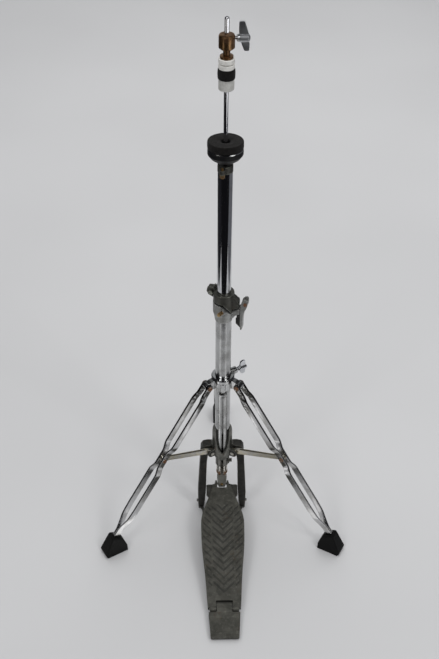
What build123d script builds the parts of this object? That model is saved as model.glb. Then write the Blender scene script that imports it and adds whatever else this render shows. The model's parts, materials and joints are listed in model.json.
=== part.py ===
from build123d import *
import os
from math import sin, cos, tan, atan2, radians, degrees, hypot, sqrt

os.makedirs("parts", exist_ok=True)

# ---------------------------------------------------------------- dimensions
# Double-braced hi-hat stand with clutch.  Millimetres, +Z up, floor at Z = 0.
# The pedal points to -Y, the rear leg to +Y.  The tube axis stands at Y_AX so
# that the origin is the middle of the stand's footprint.
Y_AX = 27.25

ROD_R = 3.175            # pull rod radius
ROD_TOP = 932.5
UPPER_R = 11.1           # upper tube
UPPER_BORE = 9.8
UPPER_TOP = 706.0
UPPER_BOTTOM = 250.0
LOWER_R = 12.7           # lower tube
LOWER_BORE = 11.5
LOWER_TOP = 449.0
LOWER_BOTTOM = 128.0

SEAT_R = 25.8            # cymbal seat felt
SEAT_PIVOT_Z = 726.0
SEAT_TILT = 4.0          # degrees, front edge up

CLUTCH_R = 10.75

HUB_R = 19.3             # leg collar
LEG_PIVOT_R = 30.0
LEG_PIVOT_Z = 305.0
MID_R = 118.0            # brace rivet on the leg
MID_Z = 178.0
BRACE_R = 24.0           # brace pin at the casting
BRACE_Z = 145.0
LEG_AZ = {"front_left": 210.0, "front_right": 330.0, "rear": 90.0}
BAR_T = 3.5              # leg bar, across the hinge pin
BAR_D = 11.6             # leg bar, in the leg's plane
PIN_R = 2.5
FIT = 0.06               # running clearance of a pin in its hole

HINGE_Y = -245.0         # heel hinge, from the tube axis
HINGE_Z = 12.0
BOARD_ANGLE = 11.07
BOARD_T = 6.5
TOE_PIN = (-9.0, 57.0)   # y from the tube axis, z
ROD_PIN_Z = 86.0

AXIS_Z = Axis((0, Y_AX, 0), (0, 0, 1))


def level(z, x=0.0, y=0.0):
    """Horizontal plane at height z, centred on the tube axis."""
    return Plane(origin=(x, Y_AX + y, z), x_dir=(1, 0, 0), z_dir=(0, 0, 1))


def profile():
    """Vertical plane through the tube axis: local x = X, local y = Z."""
    return Plane(origin=(0, Y_AX, 0), x_dir=(1, 0, 0), z_dir=(0, -1, 0))


def front(y=0.0):
    """Vertical plane facing the player, y from the tube axis."""
    return Plane(origin=(0, Y_AX + y, 0), x_dir=(1, 0, 0), z_dir=(0, -1, 0))


def side(x=0.0):
    """Vertical plane across X: local x = Y from the tube axis, local y = Z."""
    return Plane(origin=(x, Y_AX, 0), x_dir=(0, 1, 0), z_dir=(1, 0, 0))


def radial(az, z=0.0, r=0.0):
    """Vertical plane through the tube axis at azimuth az: local x = outward,
    local y = Z."""
    c, s = cos(radians(az)), sin(radians(az))
    return Plane(
        origin=(r * c, Y_AX + r * s, z), x_dir=(c, s, 0), z_dir=(s, -c, 0)
    )


def outward(az, r, z):
    """Plane whose normal points outward at azimuth az, at radius r."""
    c, s = cos(radians(az)), sin(radians(az))
    return Plane(
        origin=(r * c, Y_AX + r * s, z), x_dir=(-s, c, 0), z_dir=(c, s, 0)
    )


def save(part, label):
    part.label = label
    export_step(part, "parts/" + label + ".step")


# ------------------------------------------------------------- base and tubes
# Lower tube, slotted in front near its lower end.
with BuildPart() as lower_tube:
    with BuildSketch(level(LOWER_BOTTOM)):
        Circle(LOWER_R)
        Circle(LOWER_BORE, mode=Mode.SUBTRACT)
    extrude(amount=LOWER_TOP - LOWER_BOTTOM)
    with BuildSketch(front(-20)):
        with Locations((0, 158)):
            SlotOverall(64, 3.2, rotation=90)
        with Locations((0, 284.5)):
            Circle(3.0)
    extrude(amount=-20, mode=Mode.SUBTRACT)
save(lower_tube.part, "lower_tube")

# Nylon bush in the mouth of the lower tube that guides the upper tube.
with BuildPart() as tube_bush:
    with BuildSketch(profile()):
        with BuildLine():
            Polyline(
                (UPPER_R + FIT, 414), (LOWER_BORE, 414), (LOWER_BORE, 449),
                (14.2, 449), (14.2, 453), (UPPER_R + FIT, 453),
                (UPPER_R + FIT, 414),
            )
        make_face()
    revolve(axis=AXIS_Z)
save(tube_bush.part, "tube_bush")

# Height clamp casting: split collar with a skirt, cut down in a V in front for
# the memory lock's key, a bolt boss, and an eye that the cam lever straddles.
CLAMP_AZ = -15.0
LEVER_PIVOT = (35.0, 475.0)
BOLT_C, BOLT_S = -0.674, -0.739
BOLT = Plane(
    origin=(-1.9, Y_AX - 17.0, 463.0), x_dir=(-BOLT_S, BOLT_C, 0),
    z_dir=(BOLT_C, BOLT_S, 0),
)
with BuildPart() as clamp_casting:
    with BuildSketch(profile()):
        with BuildLine():
            Polyline(
                (LOWER_R, 437), (13.9, 437), (15.0, 446), (17.0, 454),
                (17.0, 474.2), (UPPER_R + 0.5, 474.2), (UPPER_R + 0.5, 453.2),
                (14.3, 453.2), (14.3, 449), (LOWER_R, 449), (LOWER_R, 437),
            )
        make_face()
    revolve(axis=AXIS_Z)
    # arm towards the lever
    with BuildSketch(radial(CLAMP_AZ)):
        with BuildLine():
            Polyline(
                (12.5, 440), (16.4, 445.3), (19.6, 450), (26.6, 455.1),
                (26.6, 467.0), (12.5, 457.5), (12.5, 440),
            )
        make_face()
    extrude(amount=6.0, both=True)
    # boss for the anchor bolt
    with BuildSketch(BOLT.offset(-6)):
        Circle(4.6)
    extrude(amount=8.0)
    # V in front for the memory lock's key
    with BuildSketch(front(4)):
        with BuildLine():
            Polyline(
                (-30, 474.2), (-14, 473.8), (-6, 471.8), (-1.1, 468.4),
                (10.6, 455.8), (26.2, 466.4), (26.2, 490), (-30, 490), (-30, 474.2),
            )
        make_face()
    extrude(amount=40, mode=Mode.SUBTRACT)
    # eye inside the lever's fork
    with BuildSketch(radial(CLAMP_AZ)):
        with BuildLine():
            Polyline(
                (25.8, 455.4), (30.0, 460.5), (38.2, 472.6), (31.5, 477.0),
                (25.8, 465.6), (25.8, 455.4),
            )
        make_face()
        with Locations(LEVER_PIVOT):
            Circle(4.0)
    extrude(amount=3.1, both=True)
    # bore and split
    with BuildSketch(level(453.2)):
        Circle(UPPER_R + 0.5)
    extrude(amount=40, mode=Mode.SUBTRACT)
    with BuildSketch(level(430)):
        Circle(LOWER_R)
    extrude(amount=19, mode=Mode.SUBTRACT)
    with BuildSketch(level(449)):
        Circle(14.3)
    extrude(amount=4.2, mode=Mode.SUBTRACT)
    with BuildSketch(radial(CLAMP_AZ)):
        with BuildLine():
            Polyline((11.0, 430), (45, 430), (45, 490), (11.0, 490), (11.0, 430))
        make_face()
    extrude(amount=0.8, both=True, mode=Mode.SUBTRACT)
    with BuildSketch(BOLT.offset(-2)):
        Circle(2.8)
    extrude(amount=10, mode=Mode.SUBTRACT)
    # bore for the lever pivot
    with BuildSketch(radial(CLAMP_AZ)):
        with Locations(LEVER_PIVOT):
            Circle(2.0)
    extrude(amount=20, both=True, mode=Mode.SUBTRACT)
save(clamp_casting.part, "clamp_casting")

# Brass anchor bolt in the clamp casting.
with BuildPart() as clamp_bolt:
    with BuildSketch(BOLT.offset(-2)):
        Circle(2.8)
    extrude(amount=9.5)
    with BuildSketch(BOLT.offset(7.5)):
        RegularPolygon(3.5, 6)
    extrude(amount=3.2, taper=8)
save(clamp_bolt.part, "clamp_bolt")

# Base casting: socket for the tube with a V-shaped opening in front, two
# shoulders that carry the outer arms, and three forked lugs for the braces.
with BuildPart() as base_casting:
    # shoulders and arms, one arch
    with BuildSketch(front(9)):
        with BuildLine():
            Polyline(
                (0, 155), (26, 156.5), (34.0, 154), (37.8, 147), (39.2, 120),
                (41.5, 80), (43.4, 40), (42.6, 3), (33.0, 3), (30.5, 20),
                (28.6, 50), (27.8, 90), (26.8, 118), (25.0, 134), (20.0, 134),
                (0, 134), (0, 155),
            )
        make_face()
        mirror(about=Plane.YZ)
    extrude(amount=27)
    # arms lean forward and thin out towards the floor
    with BuildSketch(side(-50)):
        with BuildLine():
            Polyline(
                (-9, 163), (-17.5, 60), (-18, 3), (0, 3), (0, 60), (7, 130),
                (7, 163), (-9, 163),
            )
        make_face()
    extrude(amount=100, mode=Mode.INTERSECT)
    # socket round the tube
    with BuildSketch(profile()):
        with BuildLine():
            Polyline(
                (10.05, 121), (12.0, 121), (16.4, 131), (17.4, 136),
                (17.4, 185), (16.6, 192), (LOWER_R, 195.5), (LOWER_R, LOWER_BOTTOM),
                (10.05, LOWER_BOTTOM), (10.05, 121),
            )
        make_face()
    revolve(axis=AXIS_Z)
    # brace lugs: ears each side of the brace
    for az in LEG_AZ.values():
        with BuildSketch(radial(az)):
            with BuildLine():
                Polyline((12.9, 137), (24, 137.3), (24, 152.7), (12.9, 154), (12.9, 137))
            make_face()
            with Locations((24, 145)):
                Circle(7.7)
        extrude(amount=7.1, both=True)
    # the tube's seat and the guide sleeve's bore
    with BuildSketch(level(LOWER_BOTTOM)):
        Circle(LOWER_R)
    extrude(amount=90, mode=Mode.SUBTRACT)
    with BuildSketch(level(100)):
        Circle(10.05)
    extrude(amount=40, mode=Mode.SUBTRACT)
    # V opening in front of the tube
    with BuildSketch(front(0)):
        with BuildLine():
            Polyline(
                (-10.6, 210), (10.6, 210), (10.6, 172), (7.0, 152), (0, 141),
                (-7.0, 152), (-10.6, 172), (-10.6, 210),
            )
        make_face()
    extrude(amount=30, mode=Mode.SUBTRACT)
    # brace slots between the ears, and the pin bores
    for az in LEG_AZ.values():
        with BuildSketch(radial(az)):
            with BuildLine():
                Polyline((13.6, 136), (60, 125), (60, 190), (19, 190), (13.6, 162), (13.6, 136))
            make_face()
        extrude(amount=3.45, both=True, mode=Mode.SUBTRACT)
        for s in (-1, 1):
            with BuildSketch(radial(az).offset(s * 7.1)):
                with Locations((BRACE_R, BRACE_Z)):
                    Circle(3.8)
            extrude(amount=s * 6, mode=Mode.SUBTRACT)
        with BuildSketch(radial(az)):
            with Locations((BRACE_R, BRACE_Z)):
                Circle(2.0)
        extrude(amount=12, both=True, mode=Mode.SUBTRACT)
    with BuildSketch(side(-60)):
        with Locations((-9.5, 13)):
            Circle(1.6)
    extrude(amount=120, mode=Mode.SUBTRACT)
save(base_casting.part, "base_casting")

# Pins through the casting's lugs, on which the braces swing.
with BuildPart() as brace_pins:
    for az in LEG_AZ.values():
        with BuildSketch(radial(az)):
            with Locations((BRACE_R, BRACE_Z)):
                Circle(2.0)
        extrude(amount=7.1, both=True)
        for s in (-1, 1):
            with BuildSketch(radial(az).offset(s * 7.1)):
                with Locations((BRACE_R, BRACE_Z)):
                    Circle(3.4)
            extrude(amount=s * 1.1)
save(brace_pins.part, "brace_pins")

# Bolt that keeps the leg collar from sliding down, with a domed head.
with BuildPart() as stop_bolt:
    with BuildSketch(side(0)):
        with BuildLine():
            l1 = Polyline(
                (-19.6, 284.5), (-19.2, 287.6), (-17.9, 290.2), (-15.6, 291.7),
                (-12.9, 292.0), (-12.9, 287.5), (-11.6, 287.5), (-11.6, 284.5),
                (-19.6, 284.5),
            )
        make_face()
    revolve(axis=Axis((0, Y_AX, 284.5), (0, 1, 0)))
save(stop_bolt.part, "stop_bolt")

# Split guide sleeve below the tube, and its clamping screw.
with BuildPart() as guide_sleeve:
    with BuildSketch(profile()):
        with BuildLine():
            Polyline(
                (6.2, 79), (9.2, 79), (10.0, 81), (10.0, 102.5), (11.4, 104),
                (11.4, 120.6), (10.0, 120.6), (10.0, 128), (11.45, 128),
                (11.45, 134), (6.2, 134), (6.2, 79),
            )
        make_face()
    revolve(axis=AXIS_Z)
    with BuildSketch(side(7.5)):
        with Locations((0, 110)):
            Rectangle(8.0, 9.0)
    extrude(amount=5.5)
    with BuildSketch(front(0)):
        with Locations((0, 104)):
            Rectangle(3.2, 64)
        with Locations((0, 80)):
            RectangleRounded(5.8, 16, 1.2)
    extrude(amount=15, mode=Mode.SUBTRACT)
    with BuildSketch(side(6)):
        with Locations((0, 110)):
            Circle(1.6)
    extrude(amount=10, mode=Mode.SUBTRACT)
save(guide_sleeve.part, "guide_sleeve")

with BuildPart() as guide_screw:
    with BuildSketch(side(7)):
        with Locations((0, 110)):
            Circle(1.6)
    extrude(amount=6.0)
    with BuildSketch(side(13.0)):
        with Locations((0, 110)):
            Circle(3.5)
    extrude(amount=4.6)
    fillet(guide_screw.faces().sort_by(Axis.X)[-1].edges(), 0.8)
save(guide_screw.part, "guide_screw")

# Seat washer for the return spring, on top of the guide sleeve.
with BuildPart() as spring_seat:
    with BuildSketch(level(134)):
        Circle(11.3)
        Circle(4.5, mode=Mode.SUBTRACT)
    extrude(amount=2)
save(spring_seat.part, "spring_seat")

# Return spring that lifts the rod and the footboard.
with BuildPart() as return_spring:
    with BuildLine():
        coil = Helix(pitch=9.0, height=72.0, radius=8.0, center=(0, Y_AX, 137))
    with BuildSketch(Plane(origin=coil @ 0, z_dir=coil % 0)):
        Circle(0.9)
    sweep(path=coil, is_frenet=True)
save(return_spring.part, "return_spring")

# Heel plate: hinge tongue between the footboard's knuckles, raised bead and
# end band.
with BuildPart() as heel_plate:
    with BuildSketch(side(-30)):
        with BuildLine():
            Polyline(
                (-251.2, 2.5), (-251.2, 13.6), (-260.2, 12.8), (-260.6, 12.2),
                (-288.6, 9.8), (-289.0, 9.2), (-296, 8.6), (-296, 2.5),
                (-251.2, 2.5),
            )
        make_face()
    extrude(amount=60)
    with BuildSketch(level(0)):
        with BuildLine():
            Polyline(
                (-26.4, -251.2), (26.4, -251.2), (23.4, -296), (-23.4, -296),
                (-26.4, -251.2),
            )
        make_face()
    extrude(amount=30, mode=Mode.INTERSECT)
    fillet(heel_plate.edges().filter_by(Axis.Z).sort_by(Axis.Y)[:2], 2.0)
    with BuildSketch(level(2.5)):
        with Locations((0, -243)):
            Rectangle(26.6, 21.5)
    extrude(amount=6.5)
    with BuildSketch(side(-13.3)):
        with Locations((HINGE_Y, HINGE_Z)):
            Circle(5.0)
        with BuildLine():
            Polyline(
                (-252, 8.8), (-252, 13.6), (-246, 16.6), (-233, 14.6),
                (-232.3, 9), (-252, 8.8),
            )
        make_face()
    extrude(amount=26.6)
    with BuildSketch(side(-20)):
        with Locations((HINGE_Y, HINGE_Z)):
            Circle(2.5)
    extrude(amount=40, mode=Mode.SUBTRACT)
save(heel_plate.part, "heel_plate")

with BuildPart() as heel_hinge_pin:
    with BuildSketch(side(-24.4)):
        with Locations((HINGE_Y, HINGE_Z)):
            Circle(2.5)
    extrude(amount=48.8)
    for s in (-1, 1):
        with BuildSketch(side(s * 24.4)):
            with Locations((HINGE_Y, HINGE_Z)):
                Circle(2.5)
        extrude(amount=s * 0.8, taper=30)
save(heel_hinge_pin.part, "heel_hinge_pin")

# Radius rods under the footboard tie the heel plate to the arms' feet.
with BuildPart() as radius_rods:
    for s in (-1, 1):
        with BuildSketch(level(2.6)):
            with BuildLine():
                Polyline(
                    (s * 17, -251.2), (s * 21.5, -251.2), (s * 22.5, -150),
                    (s * 36, -24), (s * 40.5, -18.0), (s * 33.2, -18.0),
                    (s * 24, -60), (s * 18, -150), (s * 17, -251.2),
                )
            make_face()
        extrude(amount=2.6)
save(radius_rods.part, "radius_rods")

# Screws through the arms' feet, and the pads the arms stand on.
with BuildPart() as arm_screws:
    for s in (-1, 1):
        with BuildSketch(side(s * 34)):
            with Locations((-9.5, 13)):
                Circle(1.6)
        extrude(amount=s * 9.0)
        with BuildSketch(side(s * 43.0)):
            with Locations((-9.5, 13)):
                Circle(2.8)
        extrude(amount=s * 2.7)
save(arm_screws.part, "arm_screws")

with BuildPart() as floor_pads:
    for s in (-1, 1):
        with BuildSketch(level(0, s * 37.8, -9.0)):
            RectangleRounded(9.2, 17, 2)
        extrude(amount=3)
    with BuildSketch(level(0)):
        with BuildLine():
            Polyline(
                (-24, -253), (24, -253), (22.2, -294.5), (-22.2, -294.5), (-24, -253)
            )
        make_face()
    extrude(amount=2.5)
save(floor_pads.part, "floor_pads")

# ----------------------------------------------------------------- upper tube
with BuildPart() as upper_tube:
    with BuildSketch(level(UPPER_BOTTOM)):
        Circle(UPPER_R)
        Circle(UPPER_BORE, mode=Mode.SUBTRACT)
    extrude(amount=UPPER_TOP - UPPER_BOTTOM)
save(upper_tube.part, "upper_tube")

# Memory lock: split collar with a V-shaped key and an arm over the clamp, and
# a lug with two key screws.
with BuildPart() as memory_lock:
    # the key, a piece of ring cut to a V
    with BuildSketch(level(455)):
        Circle(16.8)
    extrude(amount=24)
    with BuildSketch(front(3)):
        with BuildLine():
            Polyline(
                (-2.0, 478), (-2.0, 475.6), (3.6, 470.2), (10.8, 457.6),
                (30, 470.7), (30, 478), (-2.0, 478),
            )
        make_face()
    extrude(amount=30, mode=Mode.INTERSECT)
    # ring
    with BuildSketch(level(475.8)):
        Circle(16.6)
    extrude(amount=15.2)
    fillet(memory_lock.edges().sort_by(Axis.Z)[-1], 1.2)
    # arm over the clamp's
    with BuildSketch(radial(CLAMP_AZ)):
        with BuildLine():
            Polyline(
                (13.0, 459.6), (24.8, 467.4), (24.8, 474.4), (20.5, 482),
                (13.0, 488), (13.0, 459.6),
            )
        make_face()
    extrude(amount=5.6, both=True)
    with BuildSketch(radial(CLAMP_AZ).offset(-5.6)):
        with Locations((20.9, 475.0)):
            Circle(3.7)
    extrude(amount=-3.4, taper=18)
    # lug for the key screws
    with BuildSketch(radial(155)):
        with BuildLine():
            Polyline(
                (12, 476.7), (24, 480.7), (27.5, 486.7), (26, 494.7), (16, 496.7),
                (12, 490.7), (12, 476.7),
            )
        make_face()
    extrude(amount=5.0, both=True)
    with BuildSketch(level(450)):
        Circle(UPPER_R + 0.02)
    extrude(amount=60, mode=Mode.SUBTRACT)
    # split through the lug
    with BuildSketch(radial(155)):
        with BuildLine():
            Polyline((10, 465), (40, 465), (40, 500), (10, 500), (10, 465))
        make_face()
    extrude(amount=0.9, both=True, mode=Mode.SUBTRACT)
    with BuildSketch(radial(155)):
        with Locations((19.5, 487.7)):
            Circle(2.0)
    extrude(amount=10, both=True, mode=Mode.SUBTRACT)
save(memory_lock.part, "memory_lock")

with BuildPart() as memory_lock_screw:
    with BuildSketch(radial(155)):
        with Locations((19.5, 487.7)):
            Circle(2.0)
    extrude(amount=8.0, both=True)
    with BuildSketch(radial(155).offset(8.0)):
        with Locations((19.5, 487.7)):
            Rectangle(5.2, 5.2, rotation=30)
    extrude(amount=5.0)
    with BuildSketch(radial(155).offset(-5.2)):
        with Locations((19.5, 487.7)):
            RegularPolygon(3.9, 6)
    extrude(amount=-3.0)
save(memory_lock_screw.part, "memory_lock_screw")

# Seat bracket: plug in the tube's mouth with two ears for the tilting cup,
# a lug for the tilt screw and a bore for the rod.
with BuildPart() as seat_bracket:
    with BuildSketch(profile()):
        with BuildLine():
            Polyline(
                (3.7, 684), (UPPER_BORE, 684), (UPPER_BORE, 706), (11.3, 706),
                (11.3, 715), (10.4, 717), (3.7, 717), (3.7, 684),
            )
        make_face()
    revolve(axis=AXIS_Z)
    for s in (-1, 1):
        with BuildSketch(side(s * 8.4)):
            with Locations((0, 719)):
                Rectangle(9.0, 14)
            with Locations((0, 726)):
                Circle(4.5)
        extrude(amount=s * 2.6)
    with BuildSketch(level(709.5)):
        with Locations((-4.6, -15.2)):
            Circle(3.9)
        with BuildLine():
            Polyline((-8.5, -15.2), (-0.7, -15.2), (1.0, -9.5), (-7.2, -7.5), (-8.5, -15.2))
        make_face()
    extrude(amount=6.5)
    with BuildSketch(level(700)):
        with Locations((-4.6, -15.2)):
            Circle(2.0 + FIT)
        Circle(3.7)
    extrude(amount=24, mode=Mode.SUBTRACT)
    with BuildSketch(side(-20)):
        with Locations((0, SEAT_PIVOT_Z)):
            Circle(2.0)
    extrude(amount=40, mode=Mode.SUBTRACT)
save(seat_bracket.part, "seat_bracket")

with BuildPart() as seat_pins:
    for s in (-1, 1):
        with BuildSketch(side(s * 5.6)):
            with Locations((0, SEAT_PIVOT_Z)):
                Circle(2.0)
        extrude(amount=s * 6.2)
save(seat_pins.part, "seat_pins")

with BuildPart() as tilt_screw:
    with BuildSketch(level(703.6, -4.6, -15.2)):
        RegularPolygon(3.7, 6)
    extrude(amount=5.6)
    with BuildSketch(level(709.2, -4.6, -15.2)):
        Circle(2.0)
    extrude(amount=10.0)
    fillet(tilt_screw.edges().filter_by(GeomType.CIRCLE).sort_by(Axis.Z)[-1], 0.7)
save(tilt_screw.part, "tilt_screw")

# The cymbal seat tilts about its pivot: its own plane leans back.
SEAT = Plane(
    origin=(0, Y_AX, SEAT_PIVOT_Z),
    x_dir=(1, 0, 0),
    z_dir=(0, sin(radians(SEAT_TILT)), cos(radians(SEAT_TILT))),
)
SEAT_FACE = Plane(origin=SEAT.origin, x_dir=(1, 0, 0), z_dir=-SEAT.y_dir)
SEAT_AXIS = Axis(SEAT.origin, SEAT.z_dir)
with BuildPart() as seat_cup:
    with BuildSketch(SEAT_FACE):
        with BuildLine():
            Polyline(
                (5.8, 10.5), (13.6, 10.5), (13.6, -2.0), (15.2, -2.2),
                (21.0, 2.0), (25.0, 7.2), (25.5, 8.5), (25.5, 15.0), (5.8, 15.0),
                (5.8, 10.5),
            )
        make_face()
    revolve(axis=SEAT_AXIS)
    for s in (-1, 1):
        with BuildSketch(side(s * 5.6)):
            with Locations((0, SEAT_PIVOT_Z)):
                Circle(4.0)
        extrude(amount=s * 2.4)
        with BuildSketch(SEAT.offset(0)):
            with Locations((s * 6.8, 0)):
                Rectangle(2.4, 7.0)
        extrude(amount=10.6)
    with BuildSketch(side(-20)):
        with Locations((0, SEAT_PIVOT_Z)):
            Circle(2.0 + FIT)
    extrude(amount=40, mode=Mode.SUBTRACT)
save(seat_cup.part, "seat_cup")

with BuildPart() as seat_washer:
    with BuildSketch(SEAT.offset(15.0)):
        Circle(25.2)
        Circle(5.8, mode=Mode.SUBTRACT)
    extrude(amount=1.4)
save(seat_washer.part, "seat_washer")

with BuildPart() as seat_felt:
    with BuildSketch(SEAT.offset(16.4)):
        Circle(SEAT_R)
        Circle(6.6, mode=Mode.SUBTRACT)
    extrude(amount=11.4)
    fillet(seat_felt.edges().filter_by(GeomType.CIRCLE).group_by(SortBy.RADIUS)[-1], 1.2)
save(seat_felt.part, "seat_felt")

# ------------------------------------------------------------------- pull rod
# Upper and lower rod meet in a coupling nut inside the tube; a clevis at the
# bottom takes the footboard's link.
with BuildPart() as upper_pull_rod:
    with BuildSketch(level(300)):
        Circle(ROD_R)
    extrude(amount=ROD_TOP - 300)
    fillet(upper_pull_rod.edges().sort_by(Axis.Z)[-1], 2.6)
    # shallow relief that bounds the rod's free end
    with BuildSketch(level(911)):
        Circle(6)
        Circle(ROD_R - 0.3, mode=Mode.SUBTRACT)
    extrude(amount=1.0, mode=Mode.SUBTRACT)
save(upper_pull_rod.part, "upper_pull_rod")

with BuildPart() as rod_coupling:
    with BuildSketch(level(288)):
        RegularPolygon(5.6, 6)
        Circle(ROD_R, mode=Mode.SUBTRACT)
    extrude(amount=24)
save(rod_coupling.part, "rod_coupling")

with BuildPart() as lower_pull_rod:
    with BuildSketch(level(104)):
        Circle(ROD_R)
    extrude(amount=196)
save(lower_pull_rod.part, "lower_pull_rod")

with BuildPart() as spring_collar:
    with BuildSketch(level(210.5)):
        Circle(9.4)
        Circle(ROD_R, mode=Mode.SUBTRACT)
    extrude(amount=3)
    with BuildSketch(level(213.5)):
        RegularPolygon(6.2, 6)
        Circle(ROD_R, mode=Mode.SUBTRACT)
    extrude(amount=6)
save(spring_collar.part, "spring_collar")

with BuildPart() as rod_clevis:
    with BuildSketch(level(81)):
        Circle(5.6)
    extrude(amount=28)
    with BuildSketch(level(104)):
        Circle(ROD_R)
    extrude(amount=10, mode=Mode.SUBTRACT)
    with BuildSketch(side(-2.7)):
        with Locations((0, 86)):
            Rectangle(20, 20)
    extrude(amount=5.4, mode=Mode.SUBTRACT)
    with BuildSketch(side(-10)):
        with Locations((0, ROD_PIN_Z)):
            Circle(1.5)
    extrude(amount=20, mode=Mode.SUBTRACT)
save(rod_clevis.part, "rod_clevis")

with BuildPart() as clevis_pin:
    with BuildSketch(side(-5.0)):
        with Locations((0, ROD_PIN_Z)):
            Circle(1.5)
    extrude(amount=10.0)
save(clevis_pin.part, "clevis_pin")

# --------------------------------------------------------------------- clutch
with BuildPart() as clutch_body:
    with BuildSketch(profile()):
        with BuildLine():
            Polyline(
                (ROD_R + FIT, 838), (4.7, 838), (4.7, 876.6), (9.0, 876.6),
                (9.0, 879.4), (4.7, 880.2), (4.7, 889), (8.8, 889.2),
                (CLUTCH_R, 891), (CLUTCH_R, 906.2), (9.9, 908.2), (8.2, 909),
                (ROD_R + FIT, 909), (ROD_R + FIT, 838),
            )
        make_face()
    revolve(axis=AXIS_Z)
    with BuildSketch(side(3.4)):
        with Locations((0, 903.6)):
            Circle(2.2 + FIT)
    extrude(amount=10, mode=Mode.SUBTRACT)
save(clutch_body.part, "clutch_body")

with BuildPart() as clutch_upper_rings:
    for z, h in ((869.6, 6.6), (861.9, 6.5)):
        with BuildSketch(level(z)):
            Circle(10.9)
            Circle(4.7, mode=Mode.SUBTRACT)
        extrude(amount=h)
    chamfer(clutch_upper_rings.edges().filter_by(GeomType.CIRCLE).group_by(SortBy.RADIUS)[-1], 0.6)
save(clutch_upper_rings.part, "clutch_upper_rings")

with BuildPart() as clutch_felt:
    with BuildSketch(level(847.4)):
        Circle(12.1)
        Circle(4.7, mode=Mode.SUBTRACT)
    extrude(amount=14.3)
    fillet(clutch_felt.edges().filter_by(GeomType.CIRCLE).group_by(SortBy.RADIUS)[-1], 1.2)
save(clutch_felt.part, "clutch_felt")

with BuildPart() as clutch_bottom_nut:
    with BuildSketch(level(832)):
        Circle(10.7)
        Circle(3.6, mode=Mode.SUBTRACT)
    extrude(amount=6)
    with BuildSketch(level(838)):
        Circle(10.7)
        Circle(4.7, mode=Mode.SUBTRACT)
    extrude(amount=9.3)
    chamfer(clutch_bottom_nut.edges().filter_by(GeomType.CIRCLE).group_by(SortBy.RADIUS)[-1], 0.7)
    with BuildSketch(level(831)):
        with PolarLocations(11.05, 24):
            Circle(0.75)
    extrude(amount=18, mode=Mode.SUBTRACT)
save(clutch_bottom_nut.part, "clutch_bottom_nut")

with BuildPart() as clutch_wing_screw:
    with BuildSketch(side(5.0)):
        with Locations((0, 903.6)):
            Circle(2.2)
    extrude(amount=11)
    with BuildSketch(front(0)):
        with BuildLine():
            Polyline(
                (12.6, 903.6), (12.6, 907.8), (16.5, 909.2), (27.5, 908.9),
                (29.6, 907.4), (30.4, 905), (30.4, 903.6), (12.6, 903.6),
            )
        make_face()
    revolve(axis=Axis((0, Y_AX, 903.6), (1, 0, 0)))
    with BuildSketch(front(0)):
        with BuildLine():
            Polyline(
                (18.0, 904), (15.4, 912), (15.6, 924.6), (16.6, 926.0),
                (22.0, 926.2), (23.4, 925.0), (28.8, 908), (28.5, 902),
                (29.6, 896), (29.4, 887.6), (28.4, 886.3), (23.4, 886.1),
                (22.2, 887.3), (17.4, 900), (18.0, 904),
            )
        make_face()
    extrude(amount=1.6, both=True)
save(clutch_wing_screw.part, "clutch_wing_screw")

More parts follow.
